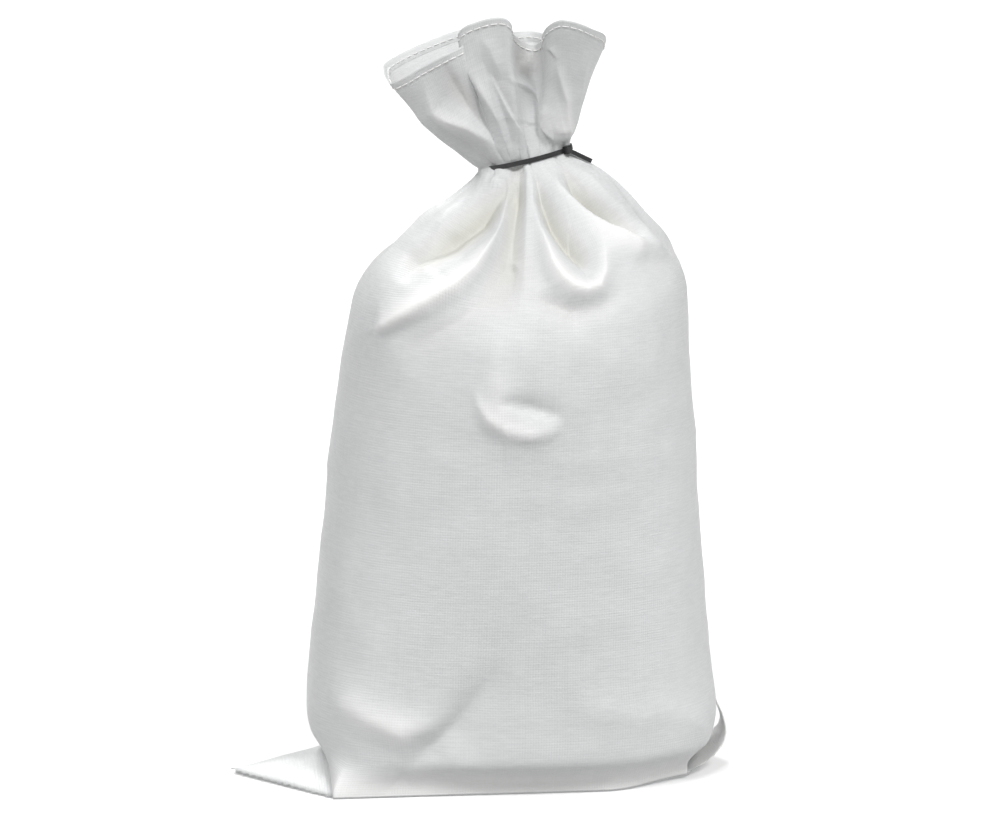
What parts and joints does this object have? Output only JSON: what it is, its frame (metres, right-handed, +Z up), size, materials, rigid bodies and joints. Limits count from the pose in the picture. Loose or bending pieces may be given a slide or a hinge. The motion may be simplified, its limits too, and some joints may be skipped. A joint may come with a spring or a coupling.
{
  "type": "woven polypropylene gunny sack",
  "caption": "Full white woven sack standing on its sewn bottom, neck gathered by a black cable tie under an open ruffled mouth.",
  "frame": {"origin": "on the floor under the middle of the sack's body", "axes": "+Z up through the neck, the broad face towards -Y, the corner that lies out on the floor towards -X"},
  "size_m": [0.526, 0.3395, 0.78],
  "materials": {
    "woven_cloth": "semi-gloss woven polypropylene tape",
    "thread": "matt twisted thread",
    "nylon": "satin moulded nylon"
  },
  "bodies": {
    "root": {"sack": "woven_cloth", "bottom_seam_thread": "thread", "hem_thread": "thread", "cable_tie": "nylon"}
  },
  "joints": []
}
